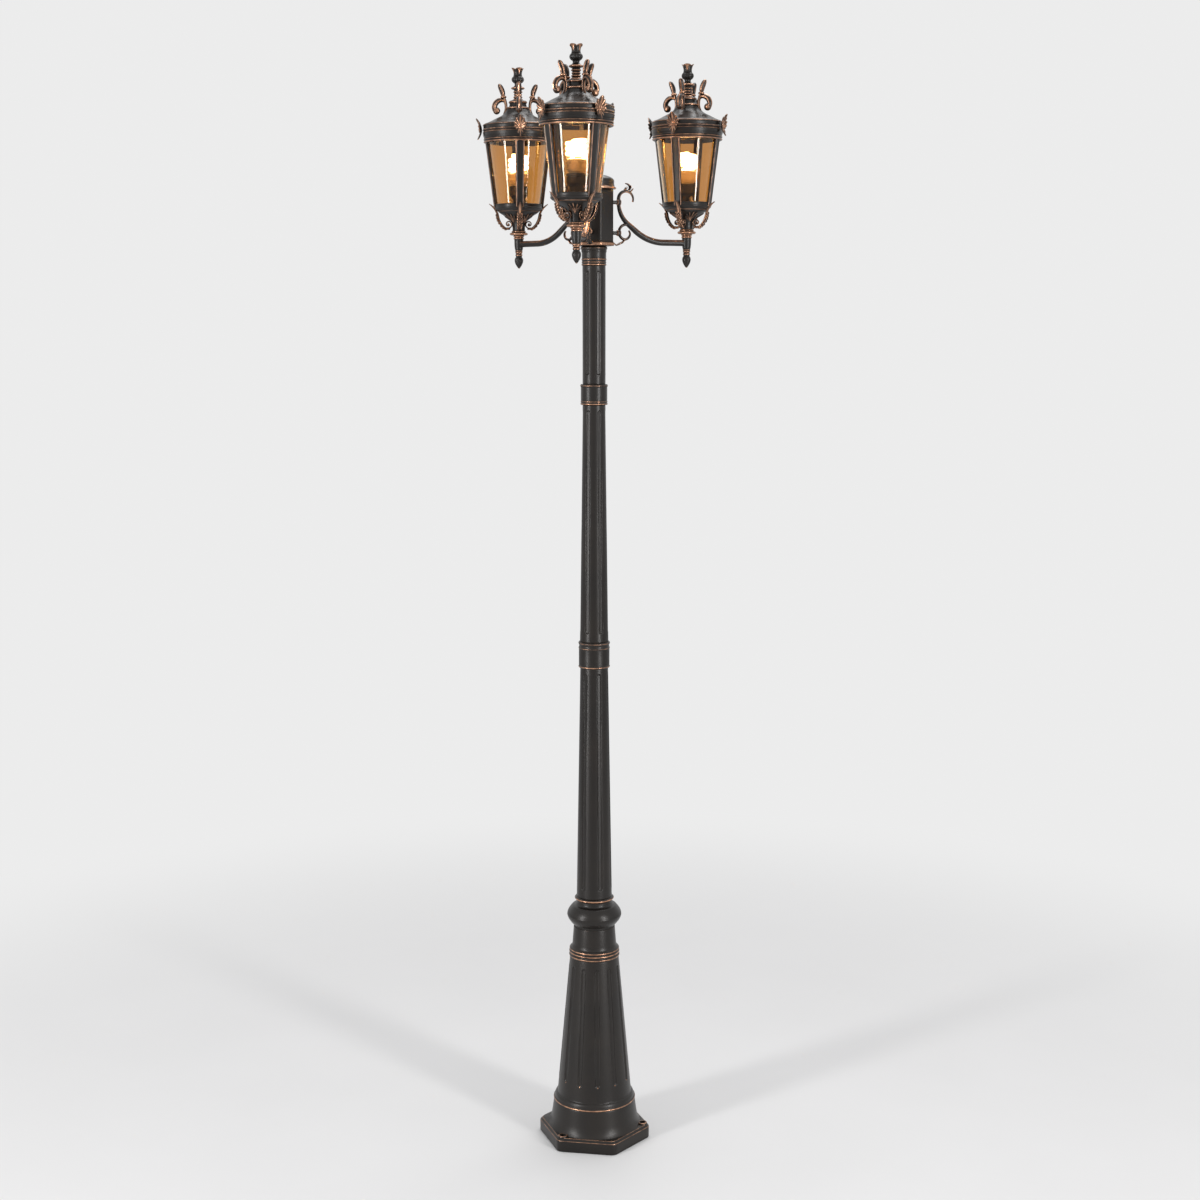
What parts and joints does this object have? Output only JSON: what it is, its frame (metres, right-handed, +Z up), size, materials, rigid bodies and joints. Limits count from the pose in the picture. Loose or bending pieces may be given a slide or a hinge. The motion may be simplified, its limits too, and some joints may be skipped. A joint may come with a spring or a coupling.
{
  "type": "garden lamp post",
  "caption": "Garden lamp post: fluted tapering post on a hexagonal foot plate, with scroll arms that carry round amber glass lanterns with acanthus brackets, bell roofs and spiral bulbs.",
  "frame": {"origin": "centre of the bolt circle, at the underside of the foot plate", "axes": "+Z up along the post, the front arm points along -Y, +X to the right seen from the front"},
  "size_m": [0.5304, 0.4714, 2.3],
  "materials": {
    "antique_bronze": "semi-gloss antique bronze paint on cast aluminium",
    "copper_brushed_bronze": "antique bronze paint with copper brushed on the raised edges",
    "amber_glass": "clear curved amber glass",
    "zinc_plated_steel": "bright zinc plate",
    "brass": "plain turned",
    "black_plastic": "moulded, matt",
    "white_plastic": "moulded, semi-gloss",
    "lamp_glass": "glass tube with a white phosphor coat"
  },
  "bodies": {
    "post": {"base_casting": "antique_bronze", "base_collar": "antique_bronze", "lower_tube": "antique_bronze", "lower_coupling": "antique_bronze", "middle_tube": "antique_bronze", "upper_coupling": "antique_bronze", "upper_tube": "antique_bronze", "top_collar": "antique_bronze", "junction_box": "antique_bronze", "terminal_block": "white_plastic", "terminal_screws": "brass", "earth_stud": "brass", "arm_nipples": "antique_bronze", "lantern_nipples": "zinc_plated_steel", "lock_nuts": "zinc_plated_steel", "bracket_screws": "zinc_plated_steel", "glass_clips": "zinc_plated_steel", "arm_front": "copper_brushed_bronze", "drop_finial_front": "copper_brushed_bronze", "bowl_front": "copper_brushed_bronze", "bowl_scrolls_front": "copper_brushed_bronze", "cage_front": "antique_bronze", "glass_front": "amber_glass", "holder_bracket_front": "zinc_plated_steel", "lampholder_front": "black_plastic", "arm_right": "copper_brushed_bronze", "drop_finial_right": "copper_brushed_bronze", "bowl_right": "copper_brushed_bronze", "bowl_scrolls_right": "copper_brushed_bronze", "cage_right": "antique_bronze", "glass_right": "amber_glass", "holder_bracket_right": "zinc_plated_steel", "lampholder_right": "black_plastic", "arm_left": "copper_brushed_bronze", "drop_finial_left": "copper_brushed_bronze", "bowl_left": "copper_brushed_bronze", "bowl_scrolls_left": "copper_brushed_bronze", "cage_left": "antique_bronze", "glass_left": "amber_glass", "holder_bracket_left": "zinc_plated_steel", "lampholder_left": "black_plastic"},
    "cap": {"box_cap": "copper_brushed_bronze"},
    "roof_front": {"roof_front": "antique_bronze", "roof_scrolls_front": "copper_brushed_bronze", "rim_leaves_front": "copper_brushed_bronze", "crown_finial_front": "copper_brushed_bronze"},
    "bulb_front": {"bulb_base_front": "white_plastic", "bulb_tube_front": "lamp_glass"},
    "roof_right": {"roof_right": "antique_bronze", "roof_scrolls_right": "copper_brushed_bronze", "rim_leaves_right": "copper_brushed_bronze", "crown_finial_right": "copper_brushed_bronze"},
    "bulb_right": {"bulb_base_right": "white_plastic", "bulb_tube_right": "lamp_glass"},
    "roof_left": {"roof_left": "antique_bronze", "roof_scrolls_left": "copper_brushed_bronze", "rim_leaves_left": "copper_brushed_bronze", "crown_finial_left": "copper_brushed_bronze"},
    "bulb_left": {"bulb_base_left": "white_plastic", "bulb_tube_left": "lamp_glass"}
  },
  "joints": [
    {"name": "cap_lift", "type": "slide", "parent": "post", "child": "cap", "axis": [0, 0, 1], "range_m": [0, 0.06]},
    {"name": "roof_lift_front", "type": "slide", "parent": "post", "child": "roof_front", "axis": [0, 0, 1], "range_m": [0, 0.12]},
    {"name": "bulb_lift_front", "type": "slide", "parent": "post", "child": "bulb_front", "axis": [0, 0, 1], "range_m": [0, 0.03]},
    {"name": "roof_lift_right", "type": "slide", "parent": "post", "child": "roof_right", "axis": [0, 0, 1], "range_m": [0, 0.12]},
    {"name": "bulb_lift_right", "type": "slide", "parent": "post", "child": "bulb_right", "axis": [0, 0, 1], "range_m": [0, 0.03]},
    {"name": "roof_lift_left", "type": "slide", "parent": "post", "child": "roof_left", "axis": [0, 0, 1], "range_m": [0, 0.12]},
    {"name": "bulb_lift_left", "type": "slide", "parent": "post", "child": "bulb_left", "axis": [0, 0, 1], "range_m": [0, 0.03]}
  ]
}
